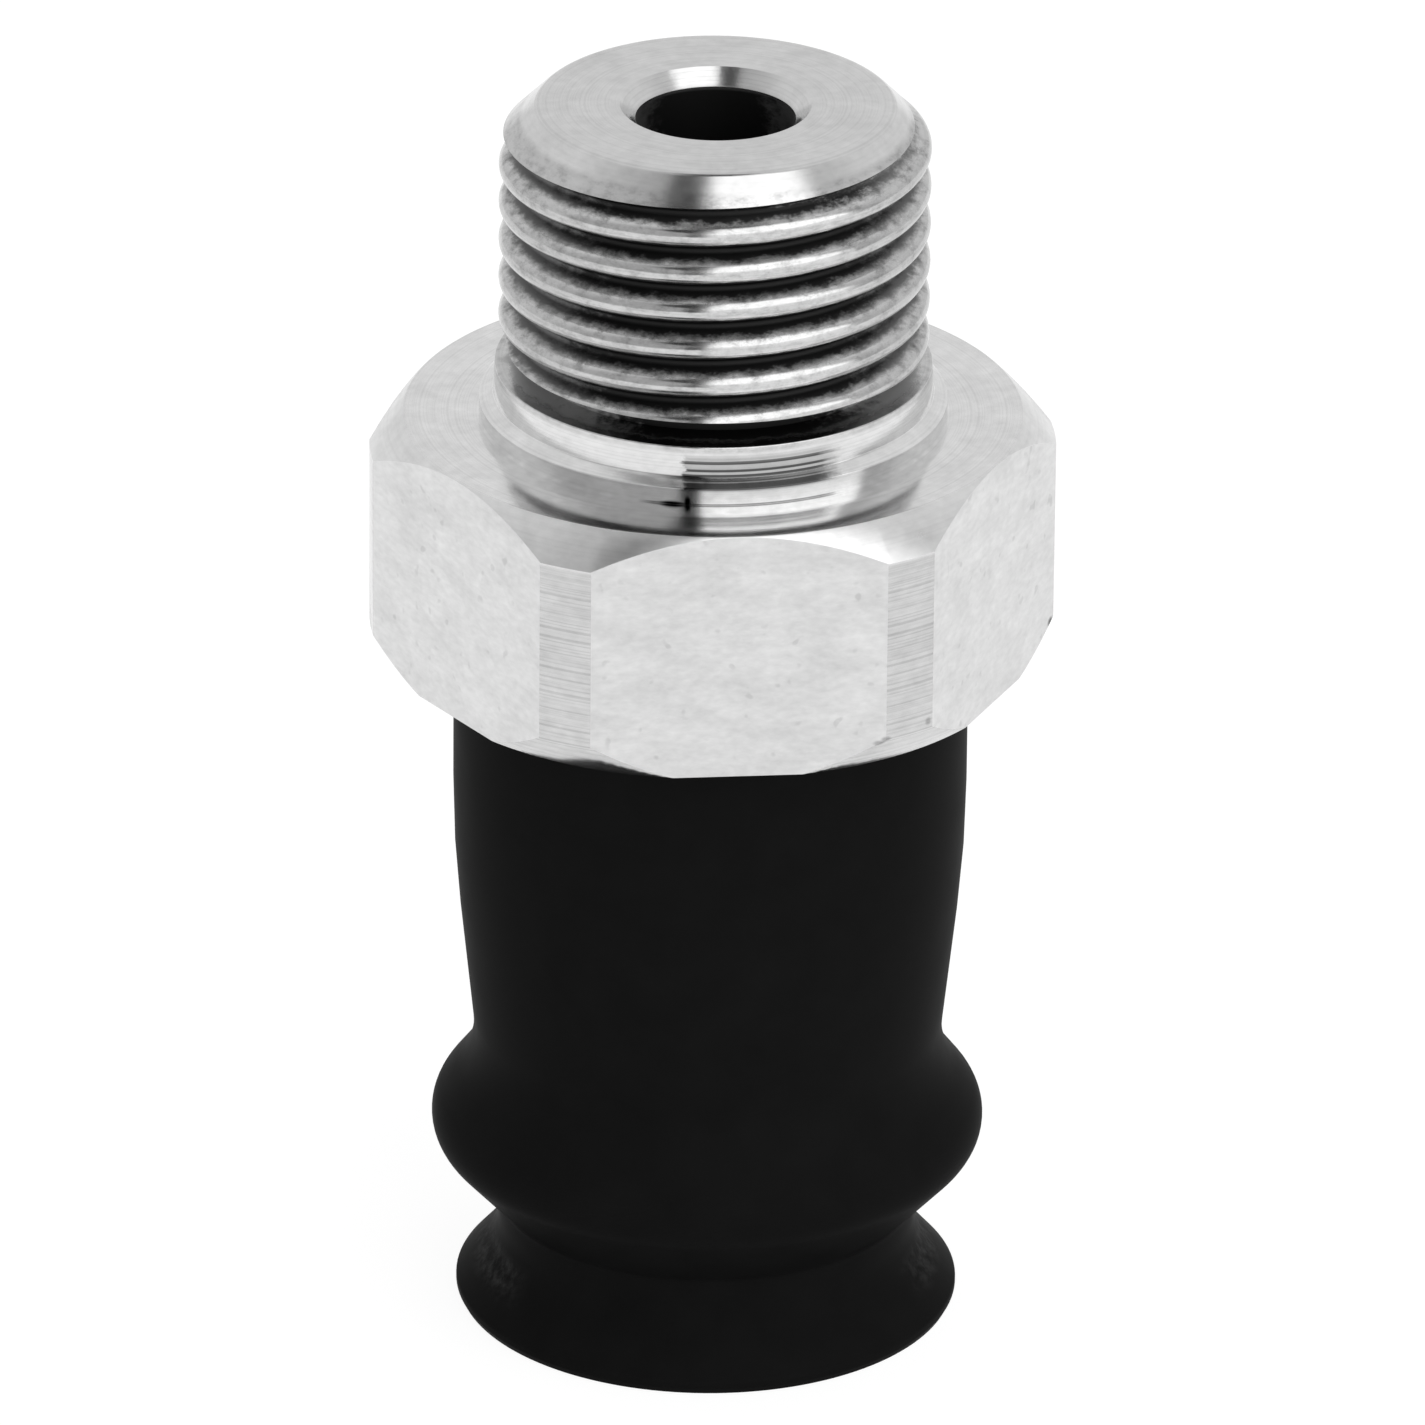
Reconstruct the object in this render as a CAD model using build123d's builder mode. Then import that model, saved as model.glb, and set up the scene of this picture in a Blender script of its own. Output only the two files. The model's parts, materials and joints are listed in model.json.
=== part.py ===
from build123d import *
import os

os.makedirs("parts", exist_ok=True)

# Bellows suction cup on a threaded nipple. Sizes are in millimetres.
# Z = 0 is the plane that the sealing lip touches, and +Z runs up to the threaded stud.

# sealing lip
lip_diameter = 11.5
lip_edge_height = 0.3       # upright face of the feathered edge
lip_edge_width = 0.3        # ring that touches the work
lip_flank_height = 1.1      # from the edge up to the corner at the waist
lip_recess_height = 1.7     # depth of the cone inside the lip
lip_root_rounding = 1.3

# waist and fold of the bellows
waist_diameter = 9.56
waist_height = 1.0          # corner to corner
lower_flank_height = 2.0
upper_flank_height = 1.7
fold_corner_diameter = 13.22  # over the fold's corner before it is rounded
fold_rounding = 0.95
fold_wall = 1.05            # measured across, at right angles to the axis
cavity_diameter = 7.5

# neck that grips the nipple
notch_diameter = 10.56
notch_rounding = 2.0
neck_diameter = 11.68
neck_taper_height = 5.25
neck_straight_height = 4.75
neck_taper_rounding = 30.0
throat_height = 0.55        # flare of the neck's bore below the spigot

# barbed spigot
spigot_diameter = 6.4
barb_diameter = 7.9
barb_count = 2
barb_length = 2.0
barb_pitch = 3.2
barb_start = 3.0            # from the hexagon down to the first shoulder

# hexagon
hex_across_flats = 14.0
hex_corner_diameter = 15.5
hex_height = 5.85
hex_top_chamfer = 0.76
hex_foot_chamfer_width = 0.6
hex_foot_chamfer_height = 0.8

# stud, with its thread as a plain cylinder over the crests
collar_foot_diameter = 10.56
collar_foot_height = 0.4
collar_shoulder_height = 0.15
collar_diameter = 9.94
collar_top_diameter = 9.86
collar_height = 1.25        # with its foot and shoulder
relief_diameter = 8.3
relief_width = 0.25
relief_flank_height = 0.1
thread_run_out = 0.2
thread_diameter = 9.7
thread_length = 4.85
thread_chamfer = 0.85

# air passage
bore_diameter = 3.6
bore_countersink = 0.35
bore_exit_chamfer = 0.3

# how far the lip's bending zone reaches down and up from the middle of the waist,
# and how far the folding zone reaches from the notch into the neck
bend_reach_down = 0.9
bend_reach_up = 0.35
fold_reach_up = 0.8

# heights of the corners of the rubber cup, from the lip up
lip_corner_z = lip_edge_height + lip_flank_height
waist_corner_z = lip_corner_z + waist_height
fold_z = waist_corner_z + lower_flank_height
notch_z = fold_z + upper_flank_height
taper_z = notch_z + neck_taper_height
neck_top_z = taper_z + neck_straight_height

# heights of the nipple's steps
hex_top_z = neck_top_z + hex_height
collar_foot_z = hex_top_z + collar_foot_height
collar_shoulder_z = collar_foot_z + collar_shoulder_height
collar_top_z = hex_top_z + collar_height
relief_low_z = collar_top_z + relief_flank_height
relief_high_z = relief_low_z + relief_width
thread_low_z = relief_high_z + thread_run_out
thread_high_z = thread_low_z + thread_length
stud_top_z = thread_high_z + thread_chamfer
spigot_tip_z = neck_top_z - barb_start - (barb_count - 1) * barb_pitch - barb_length

lip_radius = lip_diameter / 2
waist_radius = waist_diameter / 2
fold_corner_radius = fold_corner_diameter / 2
notch_radius = notch_diameter / 2
neck_radius = neck_diameter / 2
cavity_radius = cavity_diameter / 2
spigot_radius = spigot_diameter / 2
barb_radius = barb_diameter / 2
hex_corner_radius = hex_corner_diameter / 2
collar_foot_radius = collar_foot_diameter / 2
collar_radius = collar_diameter / 2
collar_top_radius = collar_top_diameter / 2
relief_radius = relief_diameter / 2
thread_radius = thread_diameter / 2
bore_radius = bore_diameter / 2


def height_on_flank(corner_low, corner_high, radius):
    """Height at which the straight line through two (radius, height) corners has this radius."""
    share = (radius - corner_low[0]) / (corner_high[0] - corner_low[0])
    return corner_low[1] + share * (corner_high[1] - corner_low[1])


# Corners of the barbed spigot as (radius, height), from the hexagon down to the tip.
# The rubber neck closes round it without a gap, so its bore is cut with the same corners.
spigot_corners = [(spigot_radius, neck_top_z)]
for barb in range(barb_count):
    shoulder_z = neck_top_z - barb_start - barb * barb_pitch
    spigot_corners += [
        (spigot_radius, shoulder_z),
        (barb_radius, shoulder_z),
        (spigot_radius, shoulder_z - barb_length),
    ]

# The rubber cup is one moulding: neck, one and a half folds and a feathered lip.
waist_corner = (waist_radius, waist_corner_z)
fold_corner = (fold_corner_radius, fold_z)
notch_corner = (notch_radius, notch_z)

with BuildPart() as cup_moulding:
    with BuildSketch(Plane.XZ):
        with BuildLine():
            Polyline((0, neck_top_z), (0, 0), (lip_radius, 0))
            FilletPolyline(
                (lip_radius, 0),
                (lip_radius, lip_edge_height),
                (waist_radius, lip_corner_z),
                waist_corner,
                fold_corner,
                notch_corner,
                (neck_radius, taper_z),
                (neck_radius, neck_top_z),
                radius=(
                    0,
                    lip_root_rounding,
                    0,
                    fold_rounding,
                    notch_rounding,
                    neck_taper_rounding,
                ),
            )
            Line((neck_radius, neck_top_z), (0, neck_top_z))
        make_face()
    revolve(axis=Axis.Z)

    # Inside, the wall keeps its thickness round the fold, and the cone of the lip thins to its edge.
    groove_low_z = height_on_flank(waist_corner, fold_corner, cavity_radius + fold_wall)
    groove_high_z = height_on_flank(fold_corner, notch_corner, cavity_radius + fold_wall)
    with BuildSketch(Plane.XZ):
        with BuildLine():
            Polyline(
                (0, 0),
                (lip_radius - lip_edge_width, 0),
                (cavity_radius, lip_recess_height),
                (cavity_radius, groove_low_z),
                (fold_corner_radius - fold_wall, fold_z),
                (cavity_radius, groove_high_z),
                (cavity_radius, spigot_tip_z - throat_height),
                (spigot_radius, spigot_tip_z),
                (0, spigot_tip_z),
                close=True,
            )
        make_face()
    revolve(axis=Axis.Z, mode=Mode.SUBTRACT)

    with BuildSketch(Plane.XZ):
        with BuildLine():
            Polyline((0, neck_top_z), *spigot_corners, (0, spigot_tip_z), close=True)
        make_face()
    revolve(axis=Axis.Z, mode=Mode.SUBTRACT)

# The moulding bends and folds, so it is divided where its stiff and its flexing zones meet.
waist_z = (lip_corner_z + waist_corner_z) / 2
lip_zone_z = waist_z - bend_reach_down
waist_zone_z = waist_z + bend_reach_up
neck_zone_z = notch_z + fold_reach_up

with BuildPart() as sealing_lip:
    add(cup_moulding.part)
    split(bisect_by=Plane.XY.offset(lip_zone_z), keep=Keep.BOTTOM)
sealing_lip.part.label = "sealing_lip"
export_step(sealing_lip.part, "parts/sealing_lip.step")

with BuildPart() as waist_web:
    add(cup_moulding.part)
    split(bisect_by=Plane.XY.offset(lip_zone_z), keep=Keep.TOP)
    split(bisect_by=Plane.XY.offset(waist_zone_z), keep=Keep.BOTTOM)
waist_web.part.label = "waist_web"
export_step(waist_web.part, "parts/waist_web.step")

with BuildPart() as lower_fold_wall:
    add(cup_moulding.part)
    split(bisect_by=Plane.XY.offset(waist_zone_z), keep=Keep.TOP)
    split(bisect_by=Plane.XY.offset(fold_z), keep=Keep.BOTTOM)
lower_fold_wall.part.label = "lower_fold_wall"
export_step(lower_fold_wall.part, "parts/lower_fold_wall.step")

with BuildPart() as upper_fold_wall:
    add(cup_moulding.part)
    split(bisect_by=Plane.XY.offset(fold_z), keep=Keep.TOP)
    split(bisect_by=Plane.XY.offset(neck_zone_z), keep=Keep.BOTTOM)
upper_fold_wall.part.label = "upper_fold_wall"
export_step(upper_fold_wall.part, "parts/upper_fold_wall.step")

with BuildPart() as cup_neck:
    add(cup_moulding.part)
    split(bisect_by=Plane.XY.offset(neck_zone_z), keep=Keep.TOP)
cup_neck.part.label = "cup_neck"
export_step(cup_neck.part, "parts/cup_neck.step")

# The nipple is one turned bar of hexagon stock: stud, collar, hexagon, spigot and air passage.
with BuildPart() as nipple:
    with BuildSketch(Plane.XY.offset(neck_top_z)):
        RegularPolygon(radius=hex_across_flats / 2, side_count=6, major_radius=False)
    extrude(amount=hex_height)
    with BuildSketch(Plane.XZ):
        with BuildLine():
            Polyline(
                (0, neck_top_z),
                (hex_corner_radius - hex_foot_chamfer_width, neck_top_z),
                (hex_corner_radius, neck_top_z + hex_foot_chamfer_height),
                (hex_corner_radius, hex_top_z - hex_top_chamfer),
                (hex_corner_radius - hex_top_chamfer, hex_top_z),
                (0, hex_top_z),
                close=True,
            )
        make_face()
    revolve(axis=Axis.Z, mode=Mode.INTERSECT)

    with BuildSketch(Plane.XZ):
        with BuildLine():
            Polyline(
                (0, hex_top_z),
                (collar_foot_radius, hex_top_z),
                (collar_foot_radius, collar_foot_z),
                (collar_radius, collar_shoulder_z),
                (collar_top_radius, collar_top_z),
                (relief_radius, relief_low_z),
                (relief_radius, relief_high_z),
                (thread_radius, thread_low_z),
                (thread_radius, thread_high_z),
                (thread_radius - thread_chamfer, stud_top_z),
                (0, stud_top_z),
                close=True,
            )
        make_face()
    revolve(axis=Axis.Z)

    with BuildSketch(Plane.XZ):
        with BuildLine():
            Polyline((0, neck_top_z), *spigot_corners, (0, spigot_tip_z), close=True)
        make_face()
    revolve(axis=Axis.Z)

    with Locations((0, 0, stud_top_z)):
        CounterSinkHole(
            radius=bore_radius,
            counter_sink_radius=bore_radius + bore_countersink,
            counter_sink_angle=90,
        )
    tip_face = nipple.faces().sort_by(Axis.Z)[0]
    chamfer(tip_face.inner_wires().edges(), length=bore_exit_chamfer)
nipple.part.label = "nipple"
export_step(nipple.part, "parts/nipple.step")
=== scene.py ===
import json
import math

import bpy
from mathutils import Matrix, Vector


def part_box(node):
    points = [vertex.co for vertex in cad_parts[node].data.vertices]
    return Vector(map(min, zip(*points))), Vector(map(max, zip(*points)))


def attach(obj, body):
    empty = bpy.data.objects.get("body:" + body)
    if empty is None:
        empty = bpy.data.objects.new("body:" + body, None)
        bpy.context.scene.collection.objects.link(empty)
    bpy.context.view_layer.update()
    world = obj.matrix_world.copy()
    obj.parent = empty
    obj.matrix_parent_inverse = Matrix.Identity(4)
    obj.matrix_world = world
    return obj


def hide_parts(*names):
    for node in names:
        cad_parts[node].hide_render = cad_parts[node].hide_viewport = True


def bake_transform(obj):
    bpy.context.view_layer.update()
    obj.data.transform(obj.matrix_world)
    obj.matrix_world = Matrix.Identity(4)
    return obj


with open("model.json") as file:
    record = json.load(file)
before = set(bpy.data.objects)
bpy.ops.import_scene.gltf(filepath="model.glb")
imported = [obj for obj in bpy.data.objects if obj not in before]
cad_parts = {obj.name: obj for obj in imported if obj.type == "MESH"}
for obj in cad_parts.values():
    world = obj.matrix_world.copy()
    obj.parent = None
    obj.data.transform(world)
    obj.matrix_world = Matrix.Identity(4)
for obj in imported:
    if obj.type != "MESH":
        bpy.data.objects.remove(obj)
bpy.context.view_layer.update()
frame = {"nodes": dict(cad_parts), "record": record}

print("frame loaded:", sorted(frame["nodes"]))

# Pieces are drawn in millimetres and brought to metres when they are finished.
millimetre = 0.001
mergeDistance = 0.0005          # millimetres
record = frame["record"]
mounts = {mount["name"]: mount for mount in record["mounts"]}


def inMillimetres(metres):
    return metres / millimetre


# Levels and radii that the looks share with the frame, in millimetres.
nippleLow, nippleHigh = (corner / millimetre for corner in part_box("nipple"))
level = {
    "studTop": nippleHigh.z,
    "spigotTip": nippleLow.z,
    "hexTop": inMillimetres(mounts["seal_face"]["pos_m"][2]),
    "hexFoot": inMillimetres(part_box("cup_neck")[1].z),
    "neckZone": inMillimetres(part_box("upper_fold_wall")[1].z),
    "fold": inMillimetres(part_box("upper_fold_wall")[0].z),
    "waistZone": inMillimetres(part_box("waist_web")[1].z),
}
threadRadius = mounts["threaded_stud"]["dims"]["r_mm"]
threadMiddle = inMillimetres(mounts["threaded_stud"]["pos_m"][2])
threadHalf = mounts["threaded_stud"]["dims"]["length_mm"] / 2
boreRadius = mounts["air_bore"]["dims"]["r_mm"]


# Drawing and turning

def selectOnly(piece):
    bpy.ops.object.select_all(action="DESELECT")
    piece.select_set(True)
    bpy.context.view_layer.objects.active = piece


def roundCorners(corners, stepAngle=9):
    # Corners are (radius, height) or (radius, height, rounding). Each rounding becomes an arc.
    points = []
    for index, corner in enumerate(corners):
        here = Vector(corner[:2])
        if len(corner) < 3:
            points.append(here)
            continue
        before = (Vector(corners[index - 1][:2]) - here).normalized()
        after = (Vector(corners[index + 1][:2]) - here).normalized()
        halfOpening = before.angle(after) / 2
        middle = here + (before + after).normalized() * corner[2] / math.sin(halfOpening)
        start = here + before * corner[2] / math.tan(halfOpening) - middle
        end = here + after * corner[2] / math.tan(halfOpening) - middle
        sweep = math.pi - 2 * halfOpening
        turn = math.copysign(1, start.x * end.y - start.y * end.x)
        steps = max(2, math.ceil(math.degrees(sweep) / stepAngle))
        for step in range(steps + 1):
            angle = turn * sweep * step / steps
            cosine, sine = math.cos(angle), math.sin(angle)
            points.append(middle + Vector((
                start.x * cosine - start.y * sine,
                start.x * sine + start.y * cosine,
            )))
    return points


def drawProfile(name, points):
    # One vertex is extruded from point to point, in the plane of X and Z.
    bpy.ops.object.select_all(action="DESELECT")
    bpy.ops.mesh.primitive_plane_add(size=1, location=(0, 0, 0))
    piece = bpy.context.object
    piece.name = name
    bpy.ops.object.mode_set(mode="EDIT")
    bpy.ops.mesh.select_mode(type="VERT")
    bpy.ops.mesh.select_all(action="SELECT")
    bpy.ops.mesh.merge(type="CENTER")
    bpy.ops.transform.translate(value=(points[0].x, 0, points[0].y))
    for start, end in zip(points, points[1:]):
        move = (end.x - start.x, 0, end.y - start.y)
        bpy.ops.mesh.extrude_region_move(TRANSFORM_OT_translate={"value": move})
    bpy.ops.object.mode_set(mode="OBJECT")
    return piece


def closeMesh(piece):
    selectOnly(piece)
    bpy.ops.object.mode_set(mode="EDIT")
    bpy.ops.mesh.select_all(action="SELECT")
    bpy.ops.mesh.remove_doubles(threshold=mergeDistance)
    bpy.ops.mesh.normals_make_consistent(inside=False)
    bpy.ops.object.mode_set(mode="OBJECT")


def turnProfile(name, corners, segments, stepAngle=9):
    piece = drawProfile(name, roundCorners(corners, stepAngle))
    bpy.ops.object.mode_set(mode="EDIT")
    bpy.ops.mesh.select_all(action="SELECT")
    bpy.ops.mesh.spin(steps=segments, angle=2 * math.pi, center=(0, 0, 0), axis=(0, 0, 1))
    bpy.ops.object.mode_set(mode="OBJECT")
    closeMesh(piece)
    return piece


def applyModifier(piece, kind, settings):
    selectOnly(piece)
    modifier = piece.modifiers.new(kind.lower(), kind)
    for key, value in settings.items():
        setattr(modifier, key, value)
    bpy.ops.object.modifier_apply(modifier=modifier.name)


def combine(piece, other, operation):
    applyModifier(piece, "BOOLEAN", {"object": other, "operation": operation, "solver": "EXACT"})
    bpy.data.objects.remove(other)


def cutAway(piece, height, above):
    # Takes away what is above or below a level, and closes the cut.
    selectOnly(piece)
    bpy.ops.object.mode_set(mode="EDIT")
    bpy.ops.mesh.select_all(action="SELECT")
    bpy.ops.mesh.bisect(
        plane_co=(0, 0, height), plane_no=(0, 0, 1), use_fill=True,
        clear_outer=above, clear_inner=not above, threshold=0.00001,
    )
    bpy.ops.object.mode_set(mode="OBJECT")


def toMetres(piece):
    selectOnly(piece)
    bpy.ops.transform.resize(value=(millimetre,) * 3, center_override=(0, 0, 0))
    bpy.ops.object.transform_apply(location=True, rotation=True, scale=True)


def smoothByAngle(piece, degrees):
    selectOnly(piece)
    bpy.ops.object.shade_smooth_by_angle(angle=math.radians(degrees))


# Materials

class Wire:
    # A socket of a finish. An expression on wires and numbers adds its Math nodes.
    def __init__(self, finish, socket):
        self.finish = finish
        self.socket = socket

    def __add__(self, other):
        return self.finish.maths("ADD", self, other)

    def __sub__(self, other):
        return self.finish.maths("SUBTRACT", self, other)

    def __mul__(self, other):
        return self.finish.maths("MULTIPLY", self, other)

    def __truediv__(self, other):
        return self.finish.maths("DIVIDE", self, other)

    def __pow__(self, other):
        return self.finish.maths("POWER", self, other)

    def __radd__(self, other):
        return self.finish.maths("ADD", other, self)

    def __rsub__(self, other):
        return self.finish.maths("SUBTRACT", other, self)

    def __rmul__(self, other):
        return self.finish.maths("MULTIPLY", other, self)


class Finish:
    # The nodes of a material or of the world, emptied, with one method that adds any node.
    def __init__(self, owner):
        owner.use_nodes = True
        self.tree = owner.node_tree
        self.tree.nodes.clear()

    def add(self, kind, settings=None, inputs=None, output=0):
        node = self.tree.nodes.new(kind)
        for key, value in (settings or {}).items():
            setattr(node, key, value)
        for key, value in (inputs or {}).items():
            if isinstance(value, Wire):
                self.tree.links.new(value.socket, node.inputs[key])
            else:
                node.inputs[key].default_value = value
        return Wire(self, node.outputs[output]) if node.outputs else None

    def maths(self, operation, *values):
        return self.add("ShaderNodeMath", {"operation": operation}, dict(enumerate(values)))

    def vector(self, operation, *values, output=0):
        inputs = dict(enumerate(values))
        return self.add("ShaderNodeVectorMath", {"operation": operation}, inputs, output)

    def axes(self, place):
        return (self.add("ShaderNodeSeparateXYZ", {}, {0: place}, axis) for axis in "XYZ")

    def smoothStep(self, value, start, end):
        return self.add("ShaderNodeMapRange", {"interpolation_type": "SMOOTHSTEP"}, {
            "Value": value, "From Min": start, "From Max": end, "To Min": 0.0, "To Max": 1.0,
        })

    def within(self, value, low, high):
        # Comes between the two levels of low and goes between the two of high.
        return self.smoothStep(value, *low) * (1 - self.smoothStep(value, *high))

    def noise(self, place, size, detail, roughness=0.5):
        # The size of its cells is in millimetres.
        return self.add("ShaderNodeTexNoise", {}, {
            "Vector": place, "Scale": 1 / (size * millimetre), "Detail": detail,
            "Roughness": roughness,
        })

    def lineNoise(self, height, width, detail, roughness=0.5):
        return self.add("ShaderNodeTexNoise", {"noise_dimensions": "1D"}, {
            "W": height, "Scale": 1 / width, "Detail": detail, "Roughness": roughness,
        })


def grey(shade):
    return (shade, shade, shade, 1)


def fade(value, other, share):
    return value * (1 - share) + share * other


def newMaterial(name):
    material = bpy.data.materials.new(name)
    return material, Finish(material)


def placeOn(finish):
    # A point of the piece: its place, then in millimetres its place on each axis and its radius,
    # and how far round towards the two sides it lies, from 0 to 1.
    place = finish.add("ShaderNodeTexCoord", {}, {}, "Object")
    across, ahead, height = (value / millimetre for value in finish.axes(place))
    radius = (across * across + ahead * ahead) ** 0.5
    sideways = finish.maths("ABSOLUTE", across) / radius
    return place, across, ahead, height, radius, sideways


def finishSurface(finish, shade, roughness, bumps, bumpDepth, settings):
    # What is even all over the surface comes in the settings.
    colour = finish.add("ShaderNodeCombineColor", {}, {0: shade, 1: shade, 2: shade})
    bump = finish.add("ShaderNodeBump", {}, {
        "Height": bumps, "Strength": 1.0, "Distance": bumpDepth * millimetre,
    })
    surface = finish.add("ShaderNodeBsdfPrincipled", {}, {
        **settings, "Base Color": colour, "Roughness": roughness, "Normal": bump,
    })
    finish.add("ShaderNodeOutputMaterial", {}, {"Surface": surface})


# Small nicks in the metal: place and half length in millimetres, and how dark.
nicks = [
    ((7.64, -0.77, 16.82), (0.14, 0.22, 0.17), 0.9),
    ((3.16, -7.0, 16.81), (0.2, 0.2, 0.09), 0.4),
    ((3.32, -7.0, 16.9), (0.16, 0.2, 0.1), 0.4),
    ((4.3, -6.43, 17.07), (0.1, 0.15, 0.13), 0.35),
    ((-1.02, -5.2, 22.04), (0.1, 0.3, 0.17), 1.0),
    ((-1.35, -5.1, 21.98), (0.4, 0.4, 0.055), 1.0),
]


def nickMask(finish, place):
    # A nick is darkest in its inner third and fades towards its ends.
    mask = 0.0
    for middle, reach, darkness in nicks:
        away = finish.vector("SUBTRACT", place, [value * millimetre for value in middle])
        share = finish.vector("DIVIDE", away, [value * millimetre for value in reach])
        distance = finish.vector("LENGTH", share, output="Value")
        mask = (1 - finish.smoothStep(distance, 0.3, 1.0)) * darkness + mask
    return mask


# The scored stretch on the collar's front, in millimetres: from left to right, and above the
# hexagon's top. A painted shadow line follows the collar's foot there, in its crease.
score = {
    "start": (-1.15, -1.05),
    "end": (1.9, 2.6),
    "low": (0.3, 0.38),
    "high": (0.85, 1.1),
    "front": (-3.0, -4.0),
    "waver": 0.6,               # how unevenly it starts and ends
    "lineWidth": 0.12,
    "lineMask": (0.42, 0.56),
    "betweenLines": 0.4,        # how dark it is between its lines
    "shade": 0.88,
    "footStart": (-2.1, -1.7),
    "footHeight": 0.02,
    "footLineWidth": 0.035,
    # the painted shadow in the crease at the collar's foot
    "footLineShade": 0.6,
    "footLineEnd": (0.05, 0.09),    # outwards from the collar's foot
}


def scoring(finish, across, ahead, height, radius):
    # What the scored stretch and the painted shadow line at the foot leave of the shade.
    front = finish.smoothStep(ahead, *score["front"])
    above = height - level["hexTop"]
    lines = finish.lineNoise(height, score["lineWidth"], detail=2)
    darkLines = finish.smoothStep(lines, *score["lineMask"])
    scored = finish.within(across, score["start"], score["end"])
    scored = scored * finish.within(above, score["low"], score["high"]) * front
    scored = scored * (score["betweenLines"] + (1 - score["betweenLines"]) * darkLines)
    # A painted shadow line in the crease where the collar's foot meets the hexagon's top.
    overFoot = finish.maths("ABSOLUTE", above - score["footHeight"])
    foot = 1 - finish.smoothStep(overFoot, 0.0, score["footLineWidth"])
    footEnd = [core["footRadius"] + reach for reach in score["footLineEnd"]]
    foot = foot * (1 - finish.smoothStep(radius, *footEnd)) * front
    foot = foot * finish.within(across, score["footStart"], score["end"])
    return (1 - scored * score["shade"]) * (1 - foot * score["footLineShade"])


# In the finishes, sizes are in millimetres, and a mask is the pair of values between which
# something comes. A shade is how bright the metal is, or how much something changes that.
turnedMetal = {
    "shade": 0.75,
    "roughness": 0.14,
    "roughnessChange": 0.12,
    "stretch": (0.5, 0.5, 1.0),     # mottle and tears are longer across than up
    "lineWidth": 0.075,
    "lineDepth": 0.0004,
    "lineMask": (0.42, 0.68),
    "lineShade": 0.06,
    "linesAcross": 1.3,         # their number on a level face, set against an upright one
    "cloudSize": 1.1,
    "cloudShade": 0.2,
    "mottleSize": 0.16,
    "mottleShade": 0.2,
    "tearSize": 0.2,
    "tearMask": (0.4, 0.75),
    "tearShade": 0.22,          # on the thread
    "tearDepth": 0.52,          # how far the tears move the edge of the painted shade in its roots
    "studMask": (1.0, 1.3),     # above the hexagon's top
    "studShade": 0.86,          # the stud is a little duller than the rest
    "studRoughness": 0.05,
    "threadEnd": (-0.45, -0.3),     # from the stud's top
    "sideMask": (0.5, 0.9),
    "sideShade": 0.16,          # painted shade: the thread is duller towards the two sides
    "landWidth": 0.1,
    "landShade": 0.82,          # and so are the turned corners of the hexagon
    "landLineShade": 0.09,
    "rimMask": (-0.85, -0.75),  # from the hexagon's top
    "rimWidth": 0.12,
    "rimRoughness": 0.16,       # the turned chamfer at the hexagon's top is rougher
    "grooveMask": (0.08, 0.34),     # depth under the crests
    "grooveShade": 0.03,        # painted shade in the roots of the thread and the relief groove, and in the bore within the stud
    "grooveSideShade": 0.18,    # and there towards the two sides, paler as a painted reflection
    "grooveSideMask": (0.6, 0.95),
    "grooveSideWaver": 0.9,
    "grooveRoughness": 0.55,
    "reliefMask": (-0.1, 0.0),  # from the thread's lower end
    "reliefSideShade": 0.3,     # the relief groove's painted shade is paler at the sides than the roots
    "reliefSideReach": 0.15,
}


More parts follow.
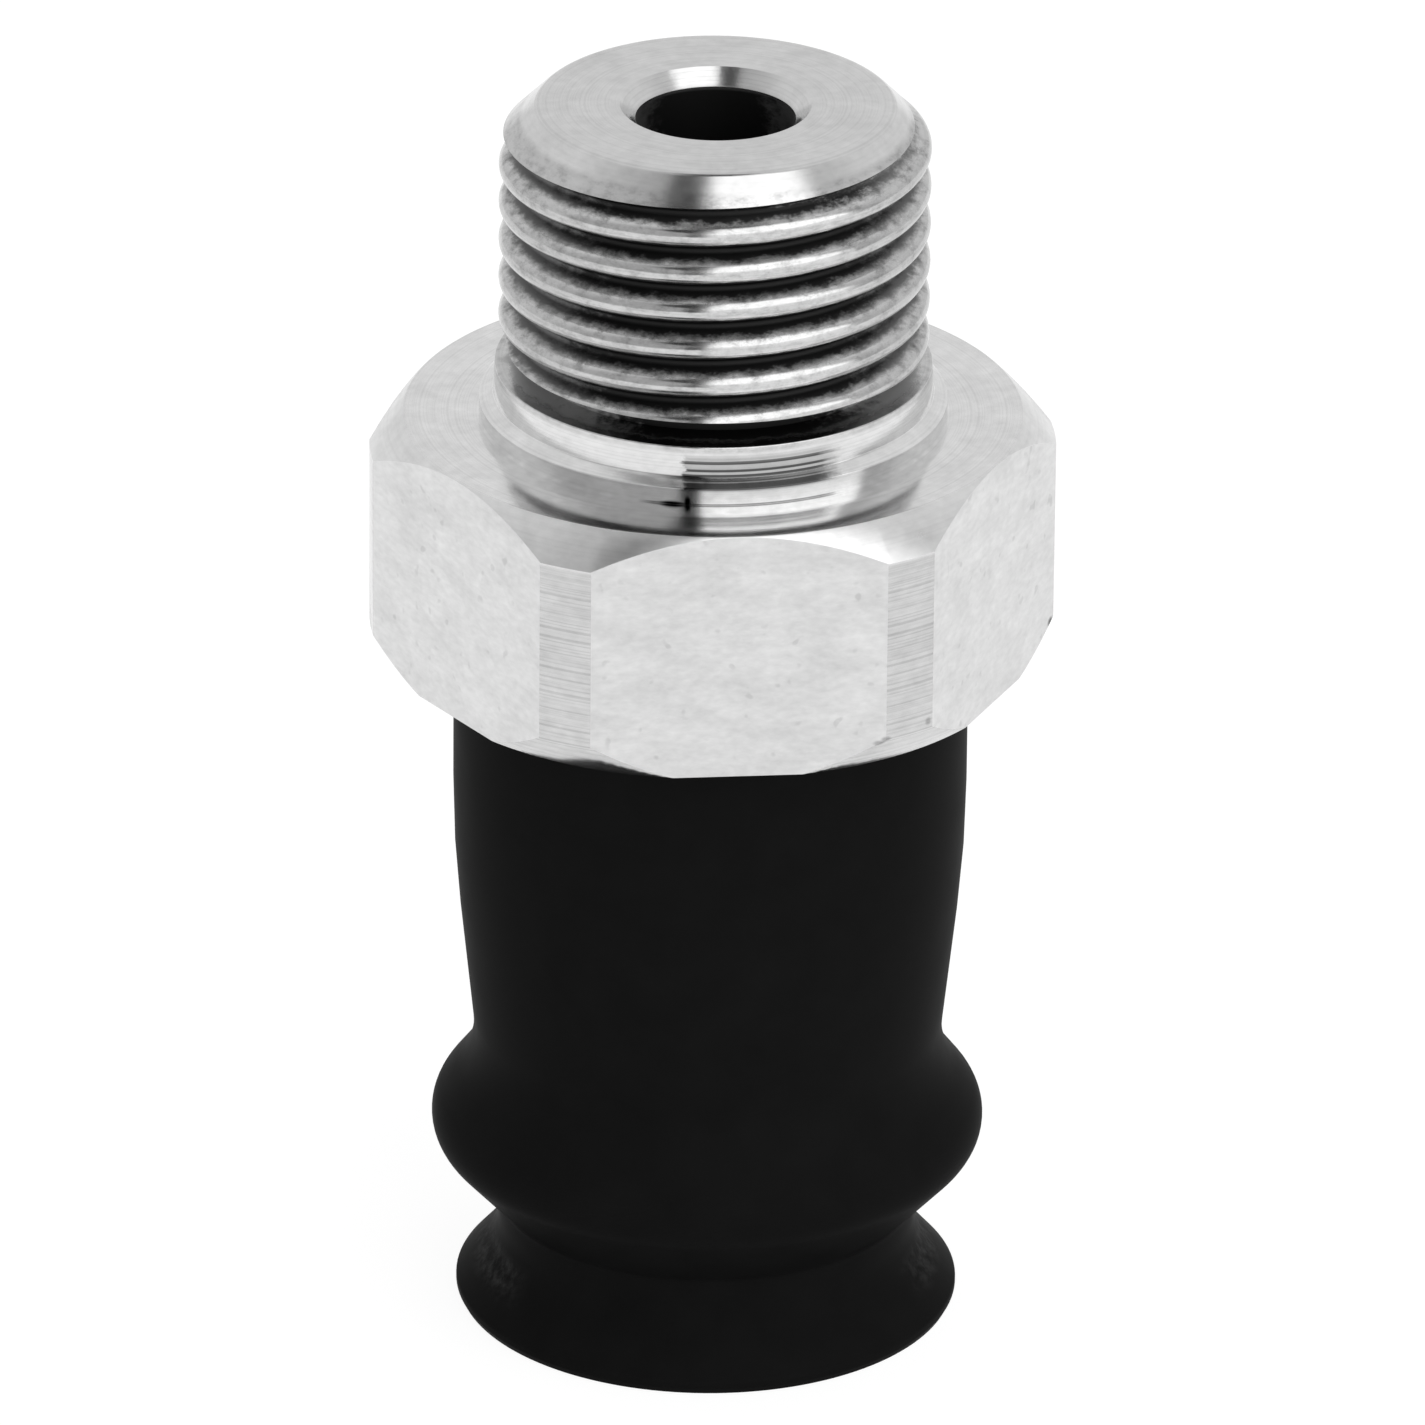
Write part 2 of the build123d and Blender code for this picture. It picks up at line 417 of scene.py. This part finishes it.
def makeTurnedMetal():
    # Bright turned aluminium: fine rings that follow the tool round the axis, with painted shade in
    # the thread roots.
    look = turnedMetal
    material, finish = newMaterial("turnedAluminium")
    place, across, ahead, height, radius, sideways = placeOn(finish)
    stretched = finish.vector("MULTIPLY", place, look["stretch"])
    lines = finish.lineNoise(
        height + radius * look["linesAcross"], look["lineWidth"], detail=3, roughness=0.6,
    )
    clouds = finish.noise(place, look["cloudSize"], detail=4)
    mottle = finish.noise(stretched, look["mottleSize"], detail=3)
    tears = finish.noise(stretched, look["tearSize"], detail=5, roughness=0.75)

    # Where it looks different: stud, thread, the hexagon's turned corners and top chamfer.
    above = height - level["hexTop"]
    fromTop = height - level["studTop"]
    onStud = finish.smoothStep(above, *look["studMask"])
    onThread = onStud * (1 - finish.smoothStep(fromTop, *look["threadEnd"]))
    flats = hexagon["acrossFlats"] / 2
    nearTop = finish.smoothStep(above, *look["rimMask"])
    land = finish.smoothStep(radius, flats - look["landWidth"], flats) * (1 - nearTop)
    rim = finish.smoothStep(radius, flats - look["rimWidth"], flats) * nearTop

    # How deep a point lies under the crests, or under the chamfer that ends them.
    intoChamfer = finish.maths("MAXIMUM", fromTop + stud["topChamfer"], 0.0)
    depth = threadRadius - intoChamfer - radius + (tears - 0.5) * look["tearDepth"]
    groove = finish.smoothStep(depth, *look["grooveMask"]) * onThread

    shade = look["shade"] + (clouds - 0.5) * look["cloudShade"]
    shade = shade + (mottle - 0.5) * look["mottleShade"]
    darkLines = finish.smoothStep(lines, *look["lineMask"])
    shade = shade - darkLines * (look["lineShade"] + land * look["landLineShade"])
    shade = shade * (1 - land * (1 - look["landShade"]))
    shade = shade * (1 - onStud * (1 - look["studShade"]))
    shade = shade - onThread * finish.smoothStep(tears, *look["tearMask"]) * look["tearShade"]
    # Painted shade: the thread grows duller towards the two sides.
    onSides = onThread * finish.smoothStep(sideways, *look["sideMask"])
    shade = shade * (1 - onSides * look["sideShade"])
    wavering = across + (tears - 0.5) * score["waver"]
    shade = shade * scoring(finish, wavering, ahead, height, radius)

    # Painted shade in the thread's roots, the relief groove and the bore within the stud, paler
    # towards the two sides as a painted reflection.
    fromThread = height - (threadMiddle - threadHalf)
    inRelief = 1 - finish.smoothStep(fromThread, *look["reliefMask"])
    # The painted groove shade pales towards the two sides as a painted reflection.
    toSide = sideways + (tears - 0.5) * look["grooveSideWaver"]
    toSide = toSide + inRelief * look["reliefSideReach"]
    sideShade = look["grooveSideShade"] - look["grooveShade"] + inRelief * look["reliefSideShade"]
    grooveShade = finish.smoothStep(toSide, *look["grooveSideMask"]) * sideShade
    shade = fade(shade, grooveShade + look["grooveShade"], groove)
    shade = shade * (1 - nickMask(finish, place))

    roughness = look["roughness"] + (clouds - 0.5) * look["roughnessChange"]
    roughness = roughness + onStud * look["studRoughness"] + rim * look["rimRoughness"]
    roughness = fade(roughness, look["grooveRoughness"], groove)
    finishSurface(finish, shade, roughness, lines, look["lineDepth"], {"Metallic": 1.0})
    return material


drawnMetal = {
    "shade": 0.71,
    "stretch": (0.5, 0.5, 1.0),
    "cloudSize": 0.6,
    "cloudShade": 0.34,
    "mottleSize": 0.13,
    "mottleShade": 0.2,
    "spotSize": 0.35,
    "spotMask": (0.66, 0.76),
    "spotShade": 0.1,
    "roughness": 0.34,
    "roughnessChange": 0.2,
    "bumpDepth": 0.0015,
}


def makeDrawnMetal():
    # The flats of the drawn bar: pale and mottled, with faint streaks along them.
    look = drawnMetal
    material, finish = newMaterial("drawnAluminium")
    place = finish.add("ShaderNodeTexCoord", {}, {}, "Object")
    stretched = finish.vector("MULTIPLY", place, look["stretch"])
    clouds = finish.noise(stretched, look["cloudSize"], detail=5, roughness=0.6)
    mottle = finish.noise(stretched, look["mottleSize"], detail=3)
    spots = finish.noise(place, look["spotSize"], detail=1)
    shade = look["shade"] + (clouds - 0.5) * look["cloudShade"]
    shade = shade + (mottle - 0.5) * look["mottleShade"]
    shade = shade - finish.smoothStep(spots, *look["spotMask"]) * look["spotShade"]
    shade = shade * (1 - nickMask(finish, place))
    roughness = look["roughness"] + (clouds - 0.5) * look["roughnessChange"]
    finishSurface(finish, shade, roughness, clouds, look["bumpDepth"], {"Metallic": 1.0})
    return material


blackRubber = {
    "shade": 0.0085,
    "cloudSize": 1.1111,
    "cloudShade": 0.4,          # a share of the shade
    "roughness": 0.5,
    "roughnessChange": 0.12,
    "specular": 0.01,
    "grainSize": 0.06,
    "grainDepth": 0.0015,
    "bloomShade": 0.03,         # a faint painted sheen on the lip's flank, towards the two sides
    "bloomSize": 0.3,
    "bloomMask": (0.35, 0.75),
    "bloomSides": (0.85, 0.97),
    "bloomLow": (0.6, 1.0),     # heights between which it comes and goes
    "bloomHigh": (1.3, 1.6),
}


def makeBlackRubber():
    # Moulded black rubber, half matt, with a fine grain from the mould and a faint painted sheen on
    # the lip.
    look = blackRubber
    material, finish = newMaterial("mouldedRubber")
    place, _, _, height, _, sideways = placeOn(finish)
    grain = finish.noise(place, look["grainSize"], detail=3)
    clouds = finish.noise(place, look["cloudSize"], detail=3)
    # A faint painted sheen in speckles on the lip's flank, towards the two sides.
    specks = finish.noise(place, look["bloomSize"], detail=4, roughness=0.7)
    paintedSheen = finish.smoothStep(specks, *look["bloomMask"])
    paintedSheen = paintedSheen * finish.smoothStep(sideways, *look["bloomSides"])
    paintedSheen = paintedSheen * finish.within(height, look["bloomLow"], look["bloomHigh"])
    shade = look["shade"] * (1 + (clouds - 0.5) * look["cloudShade"])
    shade = shade + paintedSheen * look["bloomShade"]
    roughness = look["roughness"] + (clouds - 0.5) * look["roughnessChange"]
    finishSurface(finish, shade, roughness, grain, look["grainDepth"], {
        "Specular IOR Level": look["specular"],
    })
    return material


# Nipple

hexagon = {
    "acrossFlats": nippleHigh.y - nippleLow.y,
    "overCorners": nippleHigh.x - nippleLow.x,
    "topChamfer": 0.76,
    "footChamferWidth": 0.6,
    "footChamferHeight": 0.8,
    "edgeSoftness": 0.05,
    "edgeAngle": 20,            # degrees, from which on an edge is softened
    "segments": 192,
}


def makeHexagon():
    # A slice of hexagon bar, turned at both ends.
    middle = (level["hexFoot"] + level["hexTop"]) / 2
    bpy.ops.object.select_all(action="DESELECT")
    bpy.ops.mesh.primitive_cylinder_add(
        vertices=6, radius=hexagon["acrossFlats"] / 2 / math.cos(math.pi / 6),
        depth=(level["hexTop"] - level["hexFoot"]) * 2,
        location=(0, 0, middle), rotation=(0, 0, math.pi / 6),
    )
    bar = bpy.context.object
    bar.name = "nippleTurned"
    bpy.ops.object.transform_apply(location=True, rotation=True, scale=True)
    corner = hexagon["overCorners"] / 2
    blank = turnProfile("hexBlank", [
        (0, level["hexFoot"]),
        (corner - hexagon["footChamferWidth"], level["hexFoot"]),
        (corner, level["hexFoot"] + hexagon["footChamferHeight"]),
        (corner, level["hexTop"] - hexagon["topChamfer"]),
        (corner - hexagon["topChamfer"], level["hexTop"]),
        (0, level["hexTop"]),
    ], hexagon["segments"])
    combine(bar, blank, "INTERSECT")
    applyModifier(bar, "BEVEL", {
        "width": hexagon["edgeSoftness"], "segments": 2, "limit_method": "ANGLE",
        "angle_limit": math.radians(hexagon["edgeAngle"]), "use_clamp_overlap": True,
    })
    return bar


core = {
    "spigotRadius": 3.2,
    "barbRadius": 3.95,
    "barbLength": 2.0,
    "barbPitch": 3.2,
    "barbStart": 3.0,
    "barbCount": 2,
    "barbRounding": 0.06,
    "rootDepth": 1.0,           # how deep the collar is rooted in the hexagon
    "footRadius": 5.28,
    "footHeight": 0.4,
    "footRounding": 0.03,
    "shoulderHeight": 0.15,
    "shoulderRounding": 0.05,
    "collarRadius": 4.97,
    "collarTopRadius": 4.93,
    "collarTopRounding": 0.03,
    "collarHeight": 1.25,
    "reliefRadius": 4.15,
    "capHeight": 0.12,          # the cap on which the stud stands, narrower than the relief groove
    "capInset": 0.2,
    "segments": 192,
}


def barbShoulders():
    # Heights of the barbs' shoulders, from the hexagon down.
    first = level["hexFoot"] - core["barbStart"]
    return [first - barb * core["barbPitch"] for barb in range(core["barbCount"])]


def makeCore():
    # Spigot with its barbs below, collar above, in one turned piece that runs through the hexagon.
    radius = core["spigotRadius"]
    corners = [(0, level["spigotTip"])]
    for shoulder in reversed(barbShoulders()):
        corners += [
            (radius, shoulder - core["barbLength"]),
            (core["barbRadius"], shoulder, core["barbRounding"]),
            (radius, shoulder),
        ]
    root = level["hexTop"] - core["rootDepth"]
    foot = level["hexTop"] + core["footHeight"]
    collarTop = level["hexTop"] + core["collarHeight"]
    corners += [
        (radius, root),
        (core["footRadius"], root),
        (core["footRadius"], foot, core["footRounding"]),
        (core["collarRadius"], foot + core["shoulderHeight"], core["shoulderRounding"]),
        (core["collarTopRadius"], collarTop, core["collarTopRounding"]),
        (core["reliefRadius"] - core["capInset"], collarTop + core["capHeight"]),
        (0, collarTop + core["capHeight"]),
    ]
    return turnProfile("core", corners, core["segments"])


thread = {
    "pitch": 0.907,
    "flankAngle": 27.5,         # degrees, each side of square to the axis
    "crestRounding": 0.25,
    "rootRounding": 0.1,
    "crestSteps": 4,            # each side of the crest's middle
    "rootSteps": 3,
    "crestHeightAtLeft": 28.0,
    "stepsPerTurn": 120,
    "sparePitches": 2,
}

stud = {
    "topChamfer": 0.85,
    "topRounding": 0.25,
    "lowRounding": 0.12,
    "runOut": 0.2,
    "runOutRounding": 0.05,
    "reliefWidth": 0.25,
    "rootDepth": 0.4,           # how deep the stud is rooted in the collar
    "segments": 192,
}


def threadTooth():
    # One pitch of the thread, from the middle of a root up over the crest to the next root.
    tilt = math.radians(90 - thread["flankAngle"])
    crestRound, rootRound = thread["crestRounding"], thread["rootRounding"]
    crestCount, rootCount = thread["crestSteps"], thread["rootSteps"]
    crestSteps = [tilt * step / crestCount for step in range(-crestCount, crestCount + 1)]
    rootSteps = [tilt * step / rootCount for step in range(rootCount + 1)]
    crest = [
        Vector((threadRadius - crestRound * (1 - math.cos(a)), crestRound * math.sin(a)))
        for a in crestSteps
    ]
    flankHeight = thread["pitch"] / 2 - (crestRound + rootRound) * math.sin(tilt)
    flankFoot = crest[0] - Vector((flankHeight * math.tan(tilt), flankHeight))
    root = [
        flankFoot + rootRound * Vector((math.cos(tilt) - math.cos(a), math.sin(a) - math.sin(tilt)))
        for a in rootSteps
    ]
    return root + crest + [Vector((point.x, -point.y)) for point in reversed(root)]


def makeStud():
    # A long threaded rod, cut to the stud's turned outline.
    low = threadMiddle - threadHalf - stud["runOut"]
    crestAtRight = thread["crestHeightAtLeft"] - thread["pitch"] / 2
    below = math.ceil((crestAtRight - low) / thread["pitch"]) + thread["sparePitches"]
    start = crestAtRight - below * thread["pitch"]
    turns = math.ceil((level["studTop"] - start) / thread["pitch"]) + thread["sparePitches"]
    rod = drawProfile("stud", [point + Vector((0, start)) for point in threadTooth()])
    applyModifier(rod, "SCREW", {
        "angle": 2 * math.pi, "screw_offset": thread["pitch"], "iterations": turns,
        "steps": thread["stepsPerTurn"], "render_steps": thread["stepsPerTurn"],
        "use_merge_vertices": True, "merge_threshold": mergeDistance,
    })
    cutAway(rod, low - thread["pitch"], above=False)
    cutAway(rod, level["studTop"] + thread["pitch"] / 2, above=True)
    closeMesh(rod)
    root = low - stud["reliefWidth"] - stud["rootDepth"]
    blank = turnProfile("studBlank", [
        (0, root),
        (core["reliefRadius"], root),
        (core["reliefRadius"], low),
        (threadRadius, low + stud["runOut"], stud["runOutRounding"]),
        (threadRadius, level["studTop"] - stud["topChamfer"], stud["lowRounding"]),
        (threadRadius - stud["topChamfer"], level["studTop"], stud["topRounding"]),
        (0, level["studTop"]),
    ], stud["segments"])
    combine(rod, blank, "INTERSECT")
    return rod


bore = {
    "countersink": 0.35,
    "exitChamfer": 0.3,
    "spare": 1.0,
    "segments": 128,
}


def makeBore():
    # The tool that cuts the air passage, with its countersink at the top.
    top, tip, spare = level["studTop"], level["spigotTip"], bore["spare"]
    mouth = boreRadius + bore["countersink"]
    return turnProfile("bore", [
        (0, tip - spare),
        (boreRadius + bore["exitChamfer"] + spare, tip - spare),
        (boreRadius, tip + bore["exitChamfer"]),
        (boreRadius, top - bore["countersink"]),
        (mouth + spare, top + spare),
        (0, top + spare),
    ], bore["segments"])


dress = {
    "tolerance": 0.01,          # how exactly a face has to lie to be a flat
    "smoothAngle": 28,
}


def dressNipple(piece):
    # The drawn flats are the faces that look straight out at half the width over flats.
    piece.data.materials.clear()
    piece.data.materials.append(turnedAluminium)
    piece.data.materials.append(drawnAluminium)
    reach, tolerance = hexagon["acrossFlats"] / 2, dress["tolerance"]
    for face in piece.data.polygons:
        outward = face.normal.x * face.center.x + face.normal.y * face.center.y
        flat = abs(face.normal.z) < tolerance and abs(outward - reach) < tolerance
        face.material_index = int(flat)


turnedAluminium = makeTurnedMetal()
drawnAluminium = makeDrawnMetal()
mouldedRubber = makeBlackRubber()
print("materials ready")

nipple = makeHexagon()
print("hexagon done")
combine(nipple, makeCore(), "UNION")
print("core done")
combine(nipple, makeStud(), "UNION")
print("threaded stud done")
combine(nipple, makeBore(), "DIFFERENCE")
closeMesh(nipple)
dressNipple(nipple)
toMetres(nipple)
smoothByAngle(nipple, dress["smoothAngle"])
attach(nipple, "nipple")
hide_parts("nipple")
print("nipple done, faces:", len(nipple.data.polygons))


# Rubber cup

cup = {
    "lipRadius": 5.75,
    "lipRimRadius": 5.67,       # of the rounded edge's foot
    "lipRimRounding": 0.1,
    "lipEdgeHeight": 0.3,
    "lipEdgeWidth": 0.3,
    "lipEdgeRounding": 0.12,
    "lipCorner": (4.78, 1.4, 1.3),
    "waistCorner": (4.78, 2.4, 0.3),
    "foldCornerRadius": 6.61,
    "foldRounding": 0.95,
    "notchCorner": (5.28, 6.1, 2.0),
    "taperCorner": (5.84, 11.35, 30.0),
    "neckRadius": 5.84,
    "neckRounding": 0.08,
    "hollowRadius": 3.75,
    "hollowRounding": 0.25,
    "lipHollowHeight": 1.7,
    "wall": 1.05,
    "throatHeight": 0.55,
    "lipBlendTop": 1.22,
    "lipBlendLow": 0.0,
    "segments": 144,
    "stepAngle": 6,             # degrees, in each step of a rounding
    "smoothAngle": 40,
}


def flankHeight(low, high, radius):
    # Height at which the straight line from low to high has this radius.
    share = (radius - low[0]) / (high[0] - low[0])
    return low[1] + share * (high[1] - low[1])


def makeMoulding():
    # The outside from the lip up to the hexagon, then the socket and the hollow back down.
    fold, hollow = level["fold"], cup["hollowRadius"]
    foldCorner = (cup["foldCornerRadius"], fold)
    innerLow = flankHeight(cup["waistCorner"], foldCorner, hollow + cup["wall"])
    innerHigh = flankHeight(foldCorner, cup["notchCorner"], hollow + cup["wall"])
    soft = cup["hollowRounding"]
    spigot = core["spigotRadius"]
    corners = [
        (cup["lipRadius"] - cup["lipEdgeWidth"], 0),
        (cup["lipRimRadius"], 0),
        (cup["lipRadius"], cup["lipEdgeHeight"] / 2, cup["lipRimRounding"]),
        (cup["lipRadius"], cup["lipEdgeHeight"], cup["lipEdgeRounding"]),
        cup["lipCorner"],
        cup["waistCorner"],
        (*foldCorner, cup["foldRounding"]),
        cup["notchCorner"],
        cup["taperCorner"],
        (cup["neckRadius"], level["hexFoot"], cup["neckRounding"]),
        (spigot, level["hexFoot"]),
    ]
    for shoulder in barbShoulders():
        corners += [
            (spigot, shoulder),
            (core["barbRadius"], shoulder),
            (spigot, shoulder - core["barbLength"]),
        ]
    corners += [
        (hollow, level["spigotTip"] - cup["throatHeight"], soft),
        (hollow, innerHigh, soft),
        (cup["foldCornerRadius"] - cup["wall"], fold, soft),
        (hollow, innerLow, soft),
        (hollow, cup["lipHollowHeight"], soft),
        (cup["lipRadius"] - cup["lipEdgeWidth"], 0),
    ]
    return turnProfile("moulding", corners, cup["segments"], cup["stepAngle"])


def takeZone(moulding, name, low, high):
    # A stretch of the moulding between two levels. Its ends meet its neighbours' edge to edge.
    selectOnly(moulding)
    bpy.ops.object.duplicate()
    zone = bpy.context.object
    zone.name = name
    if high is not None:
        cutAway(zone, high, above=True)
    if low is not None:
        cutAway(zone, low, above=False)
    toMetres(zone)
    zone.data.materials.clear()
    zone.data.materials.append(mouldedRubber)
    smoothByAngle(zone, cup["smoothAngle"])
    return zone


# Each zone: its name, its lower and upper level, the two bodies that it joins, the levels where
# its blend from one to the other starts and ends, and the nodes that it replaces.
zones = [
    ("rubberNeck", level["fold"], None, ("nipple", "fold"),
        (level["neckZone"], level["fold"]), ("cup_neck", "upper_fold_wall")),
    ("rubberLowerFold", level["waistZone"], level["fold"], ("fold", "waist"),
        (level["fold"], level["waistZone"]), ("lower_fold_wall",)),
    ("rubberWaist", cup["lipBlendTop"], level["waistZone"], ("waist", "lip_root"),
        (level["waistZone"], cup["lipBlendTop"]), ("waist_web",)),
    ("rubberLip", None, cup["lipBlendTop"], ("lip_root", "lip"),
        (cup["lipBlendTop"], cup["lipBlendLow"]), ("sealing_lip",)),
]
moulding = makeMoulding()
for name, low, high, bodies, span, nodes in zones:
    zone = takeZone(moulding, name, low, high)
    span[0] * millimetre
    span[1] * millimetre
    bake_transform(zone)
    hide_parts(*nodes)
    print(name, "done, faces:", len(zone.data.polygons))
bpy.data.objects.remove(moulding)


# Camera

view = {
    "distance": 0.4008,
    "azimuth": -5.14,           # degrees, from straight in front towards the right
    "elevation": 24.75,
    "roll": 0.5,
    "targetHeight": 0.01445,
    "sideStep": 0.0000454,      # the object stands this far left of the frame's middle
    "focalPixels": 17648,
    "framePixels": 1425,
    "sensorWidth": 36,
    "clip": (0.01, 100),
}


def makeCamera():
    azimuth, elevation, roll = (math.radians(view[k]) for k in ("azimuth", "elevation", "roll"))
    forward = Vector((
        -math.sin(azimuth) * math.cos(elevation),
        math.cos(azimuth) * math.cos(elevation),
        -math.sin(elevation),
    ))
    right = Vector((math.cos(azimuth), math.sin(azimuth), 0))
    up = right.cross(forward)
    place = Vector((0, 0, view["targetHeight"])) - forward * view["distance"]
    place += right * view["sideStep"]
    across = right * math.cos(roll) + up * math.sin(roll)
    upright = up * math.cos(roll) - right * math.sin(roll)
    data = bpy.data.cameras.new("camera")
    data.sensor_width = view["sensorWidth"]
    data.lens = view["focalPixels"] / view["framePixels"] * view["sensorWidth"]
    data.clip_start, data.clip_end = view["clip"]
    camera = bpy.data.objects.new("camera", data)
    bpy.context.scene.collection.objects.link(camera)
    turn = Matrix((across, upright, -forward)).transposed().to_4x4()
    camera.matrix_world = Matrix.Translation(place) @ turn
    bpy.context.scene.camera = camera


# Floor and light

floorLook = {
    "size": 3.0,
    "shade": 0.9,
    "glowShare": 0.8,           # how much of it is plain glow to the camera and in reflections
    "glow": 1.12,
}


def makeFloor():
    bpy.ops.object.select_all(action="DESELECT")
    bpy.ops.mesh.primitive_plane_add(size=floorLook["size"], location=(0, 0, 0))
    floor = bpy.context.object
    floor.name = "floor"
    material, finish = newMaterial("paleFloor")
    path = {
        name: finish.add("ShaderNodeLightPath", {}, {}, name)
        for name in ("Is Camera Ray", "Is Glossy Ray", "Is Transmission Ray")
    }
    seen = path["Is Camera Ray"] + path["Is Glossy Ray"] + path["Is Transmission Ray"]
    plain = finish.add("ShaderNodeBsdfDiffuse", {}, {"Color": grey(floorLook["shade"])})
    white = finish.add("ShaderNodeEmission", {}, {
        "Color": grey(1.0), "Strength": floorLook["glow"],
    })
    mixed = finish.add("ShaderNodeMixShader", {}, {
        0: seen * floorLook["glowShare"], 1: plain, 2: white,
    })
    finish.add("ShaderNodeOutputMaterial", {}, {"Surface": mixed})
    floor.data.materials.append(material)


# The studio round the object, by compass direction as the photograph's camera sees it:
# degrees from that camera towards its right, and brightness. A turn is a pair of heights, in
# degrees, between which something changes.
studio = {
    "softBox": 1.7,
    "softBoxLow": 1.12,         # it is dimmer near the horizon
    "softBoxTurn": (15, 27),
    "boxEnd": 77,
    "gap": 0.02,                # a dark gap beside the soft box
    "gapLow": -15.5,
    "gapHigh": -6,
    "gapLowAbove": -46,         # it is wider high up
    "gapTurn": (35, 60),
    "leftPanel": 0.52,
    "backWall": 0.84,
    "backTurn": (0.3, -0.3),    # share of the way from the camera's side to the back
    "ceiling": 0.03,
    "ceilingTurn": (74, 84),
    "edge": 1.5,
}


def makeStudio():
    world = bpy.data.worlds.new("studio")
    bpy.context.scene.world = world
    finish = Finish(world)
    x, y, z = finish.axes(finish.add("ShaderNodeTexCoord", {}, {}, "Generated"))
    ahead = 0 - y
    degrees = 180 / math.pi
    compass = finish.maths("ARCTAN2", x, ahead) * degrees - view["azimuth"]
    height = finish.maths("ARCSINE", z) * degrees
    edge = studio["edge"]

    def between(value, low, high):
        return finish.within(value, (low - edge, low + edge), (high - edge, high + edge))

    above = finish.smoothStep(height, *studio["gapTurn"])
    gapLow = studio["gapLow"] + above * (studio["gapLowAbove"] - studio["gapLow"])
    box = between(compass, studio["gapHigh"], studio["boxEnd"])
    gap = between(compass, gapLow, studio["gapHigh"])
    behind = finish.smoothStep(ahead, *studio["backTurn"])
    boxHeight = finish.smoothStep(height, *studio["softBoxTurn"])
    light = fade(studio["leftPanel"], studio["backWall"], behind)
    light = fade(light, fade(studio["softBoxLow"], studio["softBox"], boxHeight), box)
    light = fade(light, studio["gap"], gap)
    light = fade(light, studio["ceiling"], finish.smoothStep(height, *studio["ceilingTurn"]))
    # The camera itself sees plain white.
    light = fade(light, 1.0, finish.add("ShaderNodeLightPath", {}, {}, "Is Camera Ray"))
    colour = finish.add("ShaderNodeCombineColor", {}, {0: light, 1: light, 2: light})
    background = finish.add("ShaderNodeBackground", {}, {"Color": colour, "Strength": 1.0})
    finish.add("ShaderNodeOutputWorld", {}, {"Surface": background})


makeCamera()
makeFloor()
makeStudio()
bpy.context.scene.view_settings.view_transform = "Standard"
print("camera, floor and light ready")
